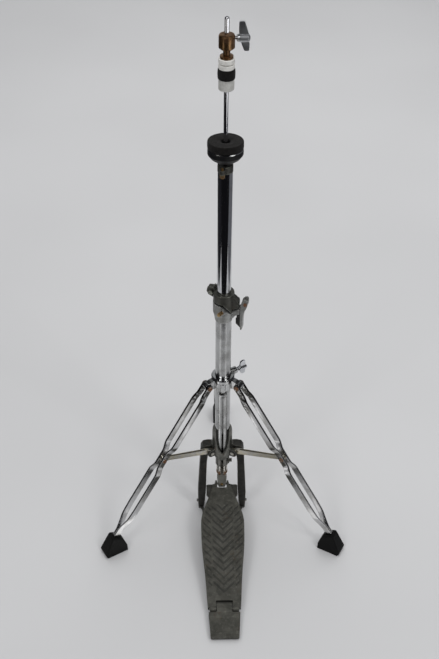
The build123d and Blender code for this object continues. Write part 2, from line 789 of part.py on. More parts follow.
# ------------------------------------------------------------------ footboard
SLOPE = radians(BOARD_ANGLE)
BOARD = Plane(
    origin=(0, Y_AX + HINGE_Y, 14.0), x_dir=(1, 0, 0),
    z_dir=(0, -sin(SLOPE), cos(SLOPE)),
)
EDGE = [
    (27.4, 0.5), (27.9, 6), (30.2, 41.8), (34.2, 87.6), (36.8, 116), (37.6, 133.5),
    (37.9, 152), (37.6, 166), (35.9, 176), (32.6, 187), (28.8, 198), (24.9, 209),
    (21.4, 219), (18.6, 228),
]
with BuildPart() as footboard:
    # tread plate
    with BuildSketch(BOARD):
        with BuildLine():
            right = Spline(*EDGE)
            Line(right @ 1, (16.4, 235.0))
            Line((16.4, 235.0), (0, 236))
            Line((0, 236), (0, 0.5))
            Line((0, 0.5), right @ 0)
        make_face()
        mirror(about=Plane.YZ)
    extrude(amount=-BOARD_T)
    # lower toe flange that spans between the arms
    with BuildSketch(BOARD.offset(-2.6)):
        with BuildLine():
            Polyline(
                (0, 206), (20.0, 206), (28.0, 217), (28.0, 237.0), (10, 241.8),
                (0, 242.5), (0, 206),
            )
        make_face()
        mirror(about=Plane.YZ)
    extrude(amount=-(BOARD_T - 2.6))
    # hollow underside with a centre rib and cross ribs
    with BuildSketch(BOARD.offset(-BOARD_T)):
        with BuildLine():
            Polyline(
                (2.0, 24), (22.5, 24), (26.0, 60), (30.5, 100), (33.0, 133),
                (33.0, 165), (27.0, 190), (19.0, 210), (2.0, 210), (2.0, 24),
            )
        make_face()
        mirror(about=Plane.YZ)
        with Locations((0, 70), (0, 118), (0, 166)):
            Rectangle(80, 3.0, mode=Mode.SUBTRACT)
    extrude(amount=3.1, mode=Mode.SUBTRACT)
    # chevron grooves in the tread
    with BuildSketch(BOARD):
        for k in range(13):
            v = 30 + 13.0 * k
            with BuildLine():
                Polyline(
                    (0, v - 2.6), (18.2, v + 15.6), (18.2, v + 20.8),
                    (0, v + 2.6), (-18.2, v + 20.8), (-18.2, v + 15.6),
                    (0, v - 2.6),
                )
            make_face()
        with BuildLine():
            Polyline(
                (0, 16), (18.4, 16), (18.4, 196), (-18.4, 196), (-18.4, 16), (0, 16)
            )
        make_face(mode=Mode.INTERSECT)
    extrude(amount=-0.9, mode=Mode.SUBTRACT)
    with BuildSketch(BOARD):
        for k in range(13):
            v = 42 + 13.0 * k
            for s in (-1, 1):
                with BuildLine():
                    Polyline(
                        (s * 20.6, v - 2.2), (s * 40, v + 17.2), (s * 40, v + 21.6),
                        (s * 20.6, v + 2.2), (s * 20.6, v - 2.2),
                    )
                make_face()
        with BuildLine():
            Polyline(
                (24.2, 30), (31.2, 87), (34.8, 133), (34.6, 164), (26.4, 196),
                (-26.4, 196), (-34.6, 164), (-34.8, 133), (-31.2, 87),
                (-24.2, 30), (24.2, 30),
            )
        make_face(mode=Mode.INTERSECT)
    extrude(amount=-0.9, mode=Mode.SUBTRACT)
    # knuckles on the heel hinge, and room for the heel plate's tongue
    for s in (-1, 1):
        with BuildSketch(side(s * 14.0)):
            with Locations((HINGE_Y, HINGE_Z)):
                Circle(4.9)
        extrude(amount=s * 10.2)
    with BuildSketch(level(0)):
        with Locations((0, -243)):
            Rectangle(28.0, 24.6)
    extrude(amount=40, mode=Mode.SUBTRACT)
    with BuildSketch(side(-40)):
        with Locations((HINGE_Y, HINGE_Z)):
            Circle(2.5 + FIT)
    extrude(amount=80, mode=Mode.SUBTRACT)
    # toe notch for the link
    with BuildSketch(level(30)):
        with Locations((0, -7)):
            Rectangle(17.0, 24)
    extrude(amount=60, mode=Mode.SUBTRACT)
    # cheeks for the toe pin
    for s in (-1, 1):
        with BuildSketch(side(s * 8.5)):
            with BuildLine():
                Polyline((-20, 52), (-4.5, 52), (-4.5, 61), (-20, 58.5), (-20, 52))
            make_face()
        extrude(amount=s * 3.5)
    with BuildSketch(side(-30)):
        with Locations(TOE_PIN):
            Circle(2.2)
    extrude(amount=60, mode=Mode.SUBTRACT)
save(footboard.part, "footboard")

with BuildPart() as toe_pin:
    with BuildSketch(side(-13.0)):
        with Locations(TOE_PIN):
            Circle(2.2)
    extrude(amount=26.0)
save(toe_pin.part, "toe_pin")

# Link from the rod's clevis to the toe pin.
LINK_DIR = atan2(TOE_PIN[0], TOE_PIN[1] - ROD_PIN_Z)
LINK_UP = Vector(0, -TOE_PIN[0], ROD_PIN_Z - TOE_PIN[1]).normalized()
LINK = Plane(
    origin=(0, Y_AX + TOE_PIN[0], TOE_PIN[1]), x_dir=(1, 0, 0),
    z_dir=Vector(1, 0, 0).cross(LINK_UP),
)
LINK_LEN = hypot(TOE_PIN[0], ROD_PIN_Z - TOE_PIN[1])
with BuildPart() as toe_link:
    with BuildSketch(LINK):
        with BuildLine():
            Polyline(
                (-6.6, -2.5), (-4.6, -5.4), (4.6, -5.4), (6.6, -2.5), (8.5, 12),
                (8.8, 17.0), (7.4, 19.6), (-7.4, 19.6), (-8.8, 17.0),
                (-8.5, 12), (-6.6, -2.5),
            )
        make_face()
    extrude(amount=4.2, both=True)
    with BuildSketch(LINK):
        with Locations((0, 24)):
            Rectangle(4.9, 13)
    extrude(amount=3.0, both=True)
    with BuildSketch(side(-2.45)):
        with Locations((0, ROD_PIN_Z)):
            Circle(3.6)
    extrude(amount=4.9)
    with BuildSketch(side(-20)):
        with Locations((0, ROD_PIN_Z)):
            Circle(1.5 + FIT)
        with Locations(TOE_PIN):
            Circle(2.2 + 0.9)
    extrude(amount=40, mode=Mode.SUBTRACT)
    fillet(toe_link.edges().filter_by(Axis.X).sort_by(Axis.Z)[:2], 1.2)
save(toe_link.part, "toe_link")

with BuildPart() as link_rivet:
    with BuildSketch(LINK.offset(4.2)):
        with Locations((0, 1.0)):
            Circle(2.8)
    extrude(amount=1.2)
    fillet(link_rivet.faces().sort_by(Axis.Y)[0].edges(), 0.5)
save(link_rivet.part, "link_rivet")

# -------------------------------------------------------------------- leg hub
HUB_SCREW_AZ = 28.6
HUB_SCREW_Z = 317.0
with BuildPart() as leg_hub:
    with BuildSketch(profile()):
        with BuildLine():
            Polyline(
                (LOWER_R + 0.08, 293), (16.2, 293), (17.4, 295), (17.4, 308),
                (HUB_R, 310.5), (HUB_R, 316.5), (18.0, 318.2),
                (LOWER_R + 0.08, 318.2), (LOWER_R + 0.08, 293),
            )
        make_face()
    revolve(axis=AXIS_Z)
    for az in LEG_AZ.values():
        with BuildSketch(radial(az)):
            with BuildLine():
                Polyline(
                    (13, 296.5), (27, 298), (LEG_PIVOT_R, 298.5),
                    (LEG_PIVOT_R, 311.5), (25, 313.5), (13, 315.5), (13, 296.5),
                )
            make_face()
            with Locations((LEG_PIVOT_R, LEG_PIVOT_Z)):
                Circle(6.5)
        extrude(amount=5.1, both=True)
    # fluted front
    with BuildSketch(level(293.2)):
        with PolarLocations(15.6, 3, start_angle=-90 - 31, angular_range=62, endpoint=True):
            Circle(4.4)
    extrude(amount=17.3)
    with BuildSketch(level(291.5)):
        with PolarLocations(20.4, 2, start_angle=-90 - 15.5, angular_range=31, endpoint=True):
            Circle(2.2)
    extrude(amount=19, mode=Mode.SUBTRACT)
    # boss for the wing screw
    with BuildSketch(outward(HUB_SCREW_AZ, 12, HUB_SCREW_Z)):
        Circle(6.2)
    extrude(amount=13.0)
    with BuildSketch(level(280)):
        Circle(LOWER_R + 0.08)
    extrude(amount=60, mode=Mode.SUBTRACT)
    with BuildSketch(outward(HUB_SCREW_AZ, 12, HUB_SCREW_Z)):
        Circle(2.5 + FIT)
    extrude(amount=20, mode=Mode.SUBTRACT)
    for az in LEG_AZ.values():
        with BuildSketch(radial(az)):
            with Locations((LEG_PIVOT_R, LEG_PIVOT_Z)):
                Circle(PIN_R)
        extrude(amount=12, both=True, mode=Mode.SUBTRACT)
save(leg_hub.part, "leg_hub")

with BuildPart() as hub_rivets:
    for az in LEG_AZ.values():
        with BuildSketch(radial(az)):
            with Locations((LEG_PIVOT_R, LEG_PIVOT_Z)):
                Circle(PIN_R)
        extrude(amount=9.4, both=True)
        for s in (-1, 1):
            with BuildSketch(radial(az).offset(s * 9.4)):
                with Locations((LEG_PIVOT_R, LEG_PIVOT_Z)):
                    Circle(4.3)
            extrude(amount=s * 1.7, taper=25)
save(hub_rivets.part, "hub_rivets")

with BuildPart() as hub_wing_screw:
    with BuildSketch(outward(HUB_SCREW_AZ, 13.2, HUB_SCREW_Z)):
        Circle(2.5)
    extrude(amount=16)
    with BuildSketch(radial(HUB_SCREW_AZ)):
        with BuildLine():
            Polyline(
                (27.6, HUB_SCREW_Z), (27.6, HUB_SCREW_Z + 3.0), (30.5, HUB_SCREW_Z + 4.3),
                (42.0, HUB_SCREW_Z + 4.0), (44.5, HUB_SCREW_Z + 2.8),
                (45.2, HUB_SCREW_Z), (27.6, HUB_SCREW_Z),
            )
        make_face()
    revolve(axis=Axis((0, Y_AX, HUB_SCREW_Z), (cos(radians(HUB_SCREW_AZ)), sin(radians(HUB_SCREW_AZ)), 0)))
    with BuildSketch(radial(HUB_SCREW_AZ)):
        with BuildLine():
            Polyline(
                (31.5, HUB_SCREW_Z), (33.0, HUB_SCREW_Z + 12), (34.2, HUB_SCREW_Z + 13.8),
                (38.2, HUB_SCREW_Z + 15.0), (41.5, HUB_SCREW_Z + 14.2),
                (42.6, HUB_SCREW_Z + 4), (42.6, HUB_SCREW_Z - 4),
                (41.5, HUB_SCREW_Z - 12.2), (38.2, HUB_SCREW_Z - 13.4),
                (34.8, HUB_SCREW_Z - 12.2), (33.0, HUB_SCREW_Z - 9), (31.5, HUB_SCREW_Z),
            )
        make_face()
    extrude(amount=1.5, both=True)
save(hub_wing_screw.part, "hub_wing_screw")

# ------------------------------------------------------------- legs and braces
# Each leg is two bars on edge, pinched together on the brace and in the foot.
LEG_ANGLE = atan2(LEG_PIVOT_Z - MID_Z, MID_R - LEG_PIVOT_R)
MID_U = hypot(LEG_PIVOT_Z - MID_Z, MID_R - LEG_PIVOT_R)
BAR_PATH = [
    (0, 7.25), (19, 7.25), (29, 10.6), (127, 10.6), (138, 5.35), (171, 5.35),
    (182, 10.6), (262, 10.6), (284, 9.6), (300, 5.0), (312, 2.1), (338, 1.9),
]
BRACE_ANGLE = atan2(MID_Z - BRACE_Z, MID_R - BRACE_R)
BRACE_LEN = hypot(MID_Z - BRACE_Z, MID_R - BRACE_R)


def leg_plane(az):
    """Leg's own plane: local x runs down the leg from the hub pivot, local y
    is the hinge pin's direction, normal points out of the leg's upper edge."""
    c, s = cos(radians(az)), sin(radians(az))
    ca, sa = cos(LEG_ANGLE), sin(LEG_ANGLE)
    return Plane(
        origin=(LEG_PIVOT_R * c, Y_AX + LEG_PIVOT_R * s, LEG_PIVOT_Z),
        x_dir=(ca * c, ca * s, -sa),
        z_dir=(sa * c, sa * s, ca),
    )


for name, az in LEG_AZ.items():
    lp = leg_plane(az)
    # plane of the pins: local x down the leg, local y out of the upper edge
    pin_plane = Plane(origin=lp.origin, x_dir=lp.x_dir, z_dir=-lp.y_dir)

    for which, sgn in (("a", 1), ("b", -1)):
        with BuildPart() as bar:
            with BuildSketch(lp):
                with BuildLine():
                    n = len(BAR_PATH)
                    outer, inner = [], []
                    for i, (u, v) in enumerate(BAR_PATH):
                        a = BAR_PATH[max(i - 1, 0)]
                        b = BAR_PATH[min(i + 1, n - 1)]
                        t = Vector(b[0] - a[0], b[1] - a[1]).normalized()
                        o = Vector(-t.Y, t.X) * (BAR_T / 2)
                        outer.append((u + o.X, sgn * (v + o.Y)))
                        inner.append((u - o.X, sgn * (v - o.Y)))
                    Polyline(*outer, *reversed(inner), outer[0])
                make_face()
            extrude(amount=BAR_D / 2, both=True)
            # rounded end round the hub pivot
            with BuildSketch(pin_plane.offset(-sgn * 7.25 - BAR_T / 2)):
                Circle(BAR_D / 2)
            extrude(amount=BAR_T)
            long_edges = bar.edges().filter_by(
                lambda e: e.geom_type == GeomType.LINE and e.length > 60
            )
            fillet(long_edges, 0.9)
            with BuildSketch(pin_plane):
                Circle(PIN_R + FIT)
                with Locations((MID_U, 0)):
                    Circle(PIN_R)
            extrude(amount=20, both=True, mode=Mode.SUBTRACT)
        save(bar.part, name + "_leg_bar_" + which)

    # rivet that carries the brace, through both bars
    with BuildPart() as rivet:
        with BuildSketch(pin_plane):
            with Locations((MID_U, 0)):
                Circle(PIN_R)
        extrude(amount=7.15, both=True)
        for s in (-1, 1):
            with BuildSketch(pin_plane.offset(s * 7.15)):
                with Locations((MID_U, 0)):
                    Circle(4.0)
            extrude(amount=s * 1.4, taper=25)
    save(rivet.part, name + "_leg_rivet")

    # rubber foot: a boot over the bars' ends
    foot_plane = radial(az)
    with BuildPart() as foot:
        with BuildSketch(foot_plane):
            with BuildLine():
                Polyline(
                    (200, 0), (238, 0), (241.5, 4), (241, 9), (226.5, 38.5),
                    (222.5, 40.5), (206.5, 31.5), (200, 12), (200, 0),
                )
            make_face()
        extrude(amount=14, both=True)
        with BuildSketch(outward(az, 180, 0)):
            with BuildLine():
                Polyline(
                    (-12.6, 0), (12.6, 0), (12.8, 6), (9.0, 42), (-9.0, 42),
                    (-12.8, 6), (-12.6, 0),
                )
            make_face()
        extrude(amount=80, mode=Mode.INTERSECT)
        tangent = Vector(-sin(radians(az)), cos(radians(az)), 0)
        chamfer(
            foot.edges().filter_by(
                lambda e: e.center().Z > 8
                and e.geom_type == GeomType.LINE
                and abs((e % 0.5).dot(tangent)) < 0.6
                and e.length > 6
            ),
            1.3,
        )
        with BuildSketch(lp):
            with Locations((326, 0)):
                Rectangle(24.2, 7.9)
        extrude(amount=BAR_D / 2 + 0.05, both=True, mode=Mode.SUBTRACT)
    save(foot.part, name + "_foot")

    # brace: channel bar with an eye on the leg's rivet and a slotted eye at
    # the casting's pin
    c, s = cos(radians(az)), sin(radians(az))
    cb, sb = cos(BRACE_ANGLE), sin(BRACE_ANGLE)
    brace_plane = Plane(
        origin=(BRACE_R * c, Y_AX + BRACE_R * s, BRACE_Z),
        x_dir=(cb * c, cb * s, sb),
        z_dir=(s, -c, 0),
    )
    with BuildPart() as brace:
        with BuildSketch(brace_plane):
            with Locations((BRACE_LEN, 0)):
                Circle(4.6)
            with Locations((0.4, -0.39)):
                SlotOverall(15.4, 10.4)
        extrude(amount=3.1, both=True)
        with BuildSketch(brace_plane):
            with BuildLine():
                Polyline(
                    (3.0, -3.0), (BRACE_LEN - 2, -3.3), (BRACE_LEN - 2, 3.3),
                    (3.0, 6.4), (3.0, -3.0),
                )
            make_face()
        extrude(amount=2.6, both=True)
        with BuildSketch(brace_plane):
            with BuildLine():
                Polyline(
                    (14.0, 0.8), (BRACE_LEN - 11, -0.6), (BRACE_LEN - 11, 12),
                    (14.0, 12), (14.0, 0.8),
                )
            make_face()
        extrude(amount=1.5, both=True, mode=Mode.SUBTRACT)
        with BuildSketch(brace_plane):
            with Locations((BRACE_LEN, 0)):
                Circle(PIN_R + FIT)
            with Locations((0, -0.39)):
                SlotOverall(4.0 + 2 * 3.9, 4.0 + 2 * 1.6)
        extrude(amount=10, both=True, mode=Mode.SUBTRACT)
    save(brace.part, name + "_brace")

# ----------------------------------------------------------------- cam lever
lever_plane = radial(CLAMP_AZ)
with BuildPart() as clamp_lever:
    # forked head on the pivot, and a curved grip that hangs down
    with BuildSketch(lever_plane):
        with BuildLine():
            Polyline(
                (36.4, 484.5), (38.6, 483.0), (39.2, 479.5), (38.6, 472.0),
                (36.4, 465.5), (34.0, 460.0), (32.2, 452.0), (31.4, 442.0),
                (31.1, 431.0), (30.9, 425.8), (30.5, 424.2), (29.4, 423.3),
                (28.3, 423.9), (27.7, 425.6), (27.5, 433.3), (27.1, 447.4),
                (27.5, 457.0), (28.0, 468.0), (28.4, 474.0), (29.6, 479.5),
                (33.0, 483.6), (36.4, 484.5),
            )
        make_face()
    extrude(amount=5.8, both=True)
    # inner fin under the grip
    with BuildSketch(lever_plane):
        with BuildLine():
            Polyline(
                (28.6, 426.0), (20.6, 434.2), (20.2, 444.4), (21.4, 446.0),
                (27.4, 452.6), (28.6, 452.6), (28.6, 426.0),
            )
        make_face()
    extrude(amount=4.6, both=True)
    # fork slot for the clamp's eye
    with BuildSketch(lever_plane):
        with BuildLine():
            Polyline((20, 455.0), (50, 455.0), (50, 492), (20, 492), (20, 455.0))
        make_face()
    extrude(amount=3.4, both=True, mode=Mode.SUBTRACT)
    with BuildSketch(lever_plane.offset(-10)):
        with Locations(LEVER_PIVOT):
            Circle(2.0 + FIT)
    extrude(amount=20, mode=Mode.SUBTRACT)
    # finger hollow in the fin
    with BuildSketch(lever_plane):
        with BuildLine():
            Polyline(
                (15.0, 428.0), (27.0, 428.0), (26.6, 450.0), (15.0, 450.0),
                (15.0, 428.0),
            )
        make_face()
    extrude(amount=2.6, both=True, mode=Mode.SUBTRACT)
save(clamp_lever.part, "clamp_lever")

with BuildPart() as lever_pin:
    with BuildSketch(lever_plane):
        with Locations(LEVER_PIVOT):
            Circle(2.0)
    extrude(amount=6.0, both=True)
    for s in (-1, 1):
        with BuildSketch(lever_plane.offset(s * 6.0)):
            with Locations(LEVER_PIVOT):
                Circle(3.2)
        extrude(amount=s * 1.0)
save(lever_pin.part, "lever_pin")
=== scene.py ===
import json
import math

import bmesh
import bpy
from mathutils import Matrix, Vector, noise


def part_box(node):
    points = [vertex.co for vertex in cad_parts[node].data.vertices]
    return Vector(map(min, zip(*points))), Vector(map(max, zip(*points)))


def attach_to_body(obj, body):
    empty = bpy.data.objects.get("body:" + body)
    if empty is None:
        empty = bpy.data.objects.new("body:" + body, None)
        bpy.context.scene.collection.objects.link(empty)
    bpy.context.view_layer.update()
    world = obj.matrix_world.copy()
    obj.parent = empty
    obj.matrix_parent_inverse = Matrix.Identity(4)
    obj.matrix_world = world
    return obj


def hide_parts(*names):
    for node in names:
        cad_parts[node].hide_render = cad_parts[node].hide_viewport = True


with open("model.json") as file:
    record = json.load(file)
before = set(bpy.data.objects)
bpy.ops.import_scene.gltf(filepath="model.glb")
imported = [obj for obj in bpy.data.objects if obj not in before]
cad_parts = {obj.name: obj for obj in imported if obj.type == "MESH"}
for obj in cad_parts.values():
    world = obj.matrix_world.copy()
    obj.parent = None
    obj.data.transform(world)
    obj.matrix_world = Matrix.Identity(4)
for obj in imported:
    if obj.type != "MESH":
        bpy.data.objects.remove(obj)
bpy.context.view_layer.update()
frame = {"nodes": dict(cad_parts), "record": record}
NODES = frame["nodes"]
BODY_OF = {n: b for b, ns in frame["record"]["behaviour"]["bodies"].items() for n in ns}
MM = 0.001

low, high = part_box("upper_pull_rod")
YA = (low.y + high.y) / 2          # the tubes' axis stands at x = 0, y = YA
scene = bpy.context.scene


# ------------------------------------------------------------------ camera
def aim(position, forward, up):
    f = Vector(forward).normalized()
    r = f.cross(Vector(up)).normalized()
    u = r.cross(f)
    m = Matrix((
        (r.x, u.x, -f.x, position[0]),
        (r.y, u.y, -f.y, position[1]),
        (r.z, u.z, -f.z, position[2]),
        (0, 0, 0, 1),
    ))
    return m


AZ, PITCH, YAW, ROLL = 1.65, 40.05, -0.291, 0.481
DIST, HEIGHT = 1.24611, 1.46122
a, p = math.radians(AZ), math.radians(PITCH)
h, r = a + math.radians(YAW), math.radians(ROLL)
fwd = Vector((math.sin(h) * math.cos(p), math.cos(h) * math.cos(p), -math.sin(p)))
flat = fwd.cross(Vector((0, 0, 1))).normalized()
up0 = flat.cross(fwd)
up = -flat * math.sin(r) + up0 * math.cos(r)
cam_data = bpy.data.cameras.new("camera")
cam_data.sensor_width = 36.0
cam_data.lens = 1021.37 / 659 * 36.0
cam_data.clip_start, cam_data.clip_end = 0.05, 60
camera = bpy.data.objects.new("camera", cam_data)
scene.collection.objects.link(camera)
camera.matrix_world = aim((-DIST * math.sin(a), YA - DIST * math.cos(a), HEIGHT), fwd, up)
scene.camera = camera
scene.view_settings.view_transform = "Standard"


# --------------------------------------------------------------- materials
class Nodes:
    """A node tree with short calls."""

    def __init__(self, name):
        self.mat = bpy.data.materials.new(name)
        self.mat.use_nodes = True
        self.nt = self.mat.node_tree
        self.bsdf = self.nt.nodes["Principled BSDF"]
        self.geo = self.add("ShaderNodeTexCoord").outputs["Object"]

    def add(self, kind, **props):
        n = self.nt.nodes.new(kind)
        for k, v in props.items():
            setattr(n, k, v)
        return n

    def link(self, a, b):
        self.nt.links.new(a, b)

    def mapped(self, scale=(1, 1, 1), rotation=(0, 0, 0)):
        m = self.add("ShaderNodeMapping")
        m.inputs["Scale"].default_value = scale
        m.inputs["Rotation"].default_value = rotation
        self.link(self.geo, m.inputs["Vector"])
        return m.outputs["Vector"]

    def noise(self, scale, detail=4.0, rough=0.55, vector=None, distortion=0.0):
        n = self.add("ShaderNodeTexNoise")
        n.inputs["Scale"].default_value = scale
        n.inputs["Detail"].default_value = detail
        n.inputs["Roughness"].default_value = rough
        n.inputs["Distortion"].default_value = distortion
        self.link(vector or self.geo, n.inputs["Vector"])
        return n.outputs["Fac"]

    def cells(self, scale, vector=None):
        n = self.add("ShaderNodeTexVoronoi")
        n.inputs["Scale"].default_value = scale
        self.link(vector or self.geo, n.inputs["Vector"])
        return n.outputs["Distance"]

    def ramp(self, value, low, high, a=0.0, b=1.0):
        n = self.add("ShaderNodeMapRange", interpolation_type="SMOOTHSTEP")
        n.inputs["From Min"].default_value = low
        n.inputs["From Max"].default_value = high
        n.inputs["To Min"].default_value = a
        n.inputs["To Max"].default_value = b
        self.link(value, n.inputs["Value"])
        return n.outputs["Result"]

    def mix(self, factor, a, b):
        n = self.add("ShaderNodeMix", data_type="RGBA")
        self.link(factor, n.inputs[0])
        for value, socket in ((a, n.inputs[6]), (b, n.inputs[7])):
            if isinstance(value, tuple):
                socket.default_value = (*value, 1)
            else:
                self.link(value, socket)
        return n.outputs[2]

    def math(self, operation, a, b):
        n = self.add("ShaderNodeMath", operation=operation)
        for value, socket in ((a, n.inputs[0]), (b, n.inputs[1])):
            if isinstance(value, (int, float)):
                socket.default_value = value
            else:
                self.link(value, socket)
        return n.outputs[0]

    def blend(self, factor, a, b):
        """Number a where factor is 0, b where it is 1."""
        n = self.add("ShaderNodeMix", data_type="FLOAT")
        self.link(factor, n.inputs[0])
        for value, socket in ((a, n.inputs[2]), (b, n.inputs[3])):
            if isinstance(value, (int, float)):
                socket.default_value = value
            else:
                self.link(value, socket)
        return n.outputs[0]

    def pointiness(self):
        return self.add("ShaderNodeNewGeometry").outputs["Pointiness"]

    def bump(self, height, strength, distance):
        n = self.add("ShaderNodeBump")
        n.inputs["Strength"].default_value = strength
        n.inputs["Distance"].default_value = distance
        self.link(height, n.inputs["Height"])
        self.link(n.outputs["Normal"], self.bsdf.inputs["Normal"])

    def out(self, socket, value):
        s = self.bsdf.inputs[socket]
        if isinstance(value, tuple):
            s.default_value = (*value, 1)
        elif isinstance(value, (int, float)):
            s.default_value = value
        else:
            self.link(value, s)


def plated(name, bright, dull, rough, streak=None, pits=0.5, pit_colour=(0.10, 0.055, 0.03), grime=(0.2, 0.19, 0.17), dark_zone=None):
    """Chrome or nickel plate: cloudy patches, fine scratches and small rust pits."""
    m = Nodes(name)
    cloud = m.ramp(m.noise(38, 5, 0.6), 0.35, 0.72)
    vector = m.mapped(streak) if streak else None
    lines = m.noise(1.0 if streak else 900, 5, 0.7, vector)
    base = m.mix(cloud, bright, dull)
    base = m.mix(m.ramp(lines, 0.55, 0.8, 0, 0.35), base, grime)
    spots = m.math("MULTIPLY", m.ramp(m.noise(420, 3, 0.6), 0.66, 0.72), m.ramp(m.noise(24, 3, 0.5), 0.68 - 0.2 * pits, 0.82 - 0.2 * pits))
    base = m.mix(spots, base, pit_colour)
    if dark_zone == "clamp":
        # painted shade: a dark ring on the tube where the clamp and the memory lock close on it, standing in for the
        # shade in the gap between them
        sep = m.add("ShaderNodeSeparateXYZ")
        m.link(m.geo, sep.inputs[0])
        ring = m.math("MULTIPLY", m.ramp(sep.outputs["Z"], 0.4790, 0.4750), m.ramp(sep.outputs["Z"], 0.4440, 0.4560))
        ring = m.math("MULTIPLY", ring, m.ramp(m.noise(260, 5, 0.65), 0.30, 0.58, 0.55, 0.95))
        base = m.mix(ring, base, (0.085, 0.082, 0.072))
    if dark_zone == "hub":
        # the bars' inner ends are darker close round the hub
        sep = m.add("ShaderNodeSeparateXYZ")
        m.link(m.geo, sep.inputs[0])
        dx = m.math("MULTIPLY", sep.outputs["X"], sep.outputs["X"])
        y = m.math("SUBTRACT", sep.outputs["Y"], YA)
        reach = m.math("SQRT", m.math("ADD", dx, m.math("MULTIPLY", y, y)), 0)
        inner = m.math("MULTIPLY", m.ramp(reach, 0.066, 0.050), m.ramp(sep.outputs["Z"], 0.235, 0.255))
        inner = m.math("MULTIPLY", inner, m.ramp(m.noise(190, 5, 0.65), 0.62, 0.48, 0.25, 1.0))
        base = m.mix(inner, base, (0.055, 0.054, 0.049))
    m.out("Base Color", base)
    m.out("Metallic", m.blend(spots, 1.0, 0.1))
    level = m.blend(cloud, rough, rough * 1.7 + 0.02)
    level = m.math("ADD", level, m.ramp(lines, 0.5, 0.8, 0, 0.07))
    m.out("Roughness", m.blend(spots, level, 0.75))
    m.bump(m.math("SUBTRACT", m.math("MULTIPLY", lines, 0.25), spots), 0.10, 0.0003)
    return m.mat


def cast(name, colour, dark, wear, rough, metal=0.7, grain=1500, wear_at=(0.505, 0.545), bump=0.35, rust=0.0, socket=None):
    """Tumbled or painted die casting: mottled skin, fine grain, brighter worn edges, darker in the concave corners.
    """
    m = Nodes(name)
    mottle = m.ramp(m.noise(70, 6, 0.62, distortion=0.4), 0.32, 0.7)
    base = m.mix(mottle, colour, dark)
    if socket:
        # rubbed and lighter close round the tube
        sep = m.add("ShaderNodeSeparateXYZ")
        m.link(m.geo, sep.inputs[0])
        dx = m.math("POWER", m.math("ABSOLUTE", sep.outputs["X"], 0), 2)
        dy = m.math("POWER", m.math("ABSOLUTE", m.math("SUBTRACT", sep.outputs["Y"], YA), 0), 2)
        near = m.ramp(m.math("SQRT", m.math("ADD", dx, dy), 0), 0.0205, 0.0172)
        base = m.mix(m.math("MULTIPLY", near, m.ramp(m.noise(160, 4, 0.6), 0.25, 0.6, 0.55, 1.0)), base, socket)
    point = m.pointiness()
    scuff = m.noise(260, 4, 0.65)
    edge = m.math("MULTIPLY", m.ramp(point, *wear_at), m.ramp(scuff, 0.3, 0.62, 0.25, 1.0))
    corner = m.ramp(point, 0.49, 0.455)
    base = m.mix(edge, base, wear)
    base = m.mix(m.math("MULTIPLY", corner, 0.7), base, tuple(c * 0.3 for c in dark))
    if rust:
        patch = m.math("MULTIPLY", m.ramp(m.noise(110, 5, 0.65), 0.58, 0.72), rust)
        base = m.mix(patch, base, (0.12, 0.06, 0.03))
    m.out("Base Color", base)
    m.out("Metallic", m.blend(edge, metal, min(1.0, metal + 0.3)))
    m.out("Roughness", m.blend(mottle, rough, rough + 0.14))
    m.bump(m.math("ADD", m.noise(grain, 3, 0.6), m.math("MULTIPLY", m.noise(240, 3, 0.5), 0.8)), bump, 0.00022)
    return m.mat


def rusty(name, metal_colour, rust_a, rust_b, amount, rough=0.4, scale=420):
    """Bare or thinly plated steel with rust blooming over it."""
    m = Nodes(name)
    bloom = m.ramp(m.noise(scale, 5, 0.65), 0.62 - 0.3 * amount, 0.72 - 0.3 * amount)
    rust = m.mix(m.noise(scale * 3, 4, 0.6), rust_a, rust_b)
    m.out("Base Color", m.mix(bloom, metal_colour, rust))
    m.out("Metallic", m.blend(bloom, 1.0, 0.25))
    m.out("Roughness", m.blend(bloom, rough, 0.72))
    m.bump(m.math("ADD", m.noise(1800, 4, 0.6), bloom), 0.3, 0.0003)
    return m.mat


def tarnished(name, gold, grey, dark, rough=0.34, streak=None):
    """Zinc plate gone yellow and grey in blotches."""
    m = Nodes(name)
    blotch = m.ramp(m.noise(120, 6, 0.66, distortion=0.6), 0.36, 0.66)
    base = m.mix(blotch, gold, grey)
    spots = m.ramp(m.noise(300, 5, 0.7), 0.56, 0.7)
    base = m.mix(spots, base, dark)
    m.out("Base Color", base)
    m.out("Metallic", m.blend(spots, 0.95, 0.5))
    m.out("Roughness", m.blend(spots, rough, rough + 0.28))
    m.bump(m.math("ADD", m.noise(900, 4, 0.6), spots), 0.22, 0.0002)
    return m.mat


def bronze(name):
    """Tarnished bronze plate with turning marks round it."""
    m = Nodes(name)
    rings = m.noise(1.0, 3, 0.5, m.mapped((60, 60, 2600)))
    cloud = m.ramp(m.noise(95, 5, 0.6), 0.3, 0.7)
    base = m.mix(cloud, (0.34, 0.20, 0.095), (0.16, 0.085, 0.045))
    base = m.mix(m.ramp(m.noise(380, 4, 0.6), 0.58, 0.74), base, (0.05, 0.03, 0.02))
    m.out("Base Color", base)
    m.out("Metallic", m.ramp(cloud, 0, 1, 1.0, 0.85))
    m.out("Roughness", m.blend(cloud, 0.30, 0.46))
    m.bump(rings, 0.16, 0.0002)
    return m.mat


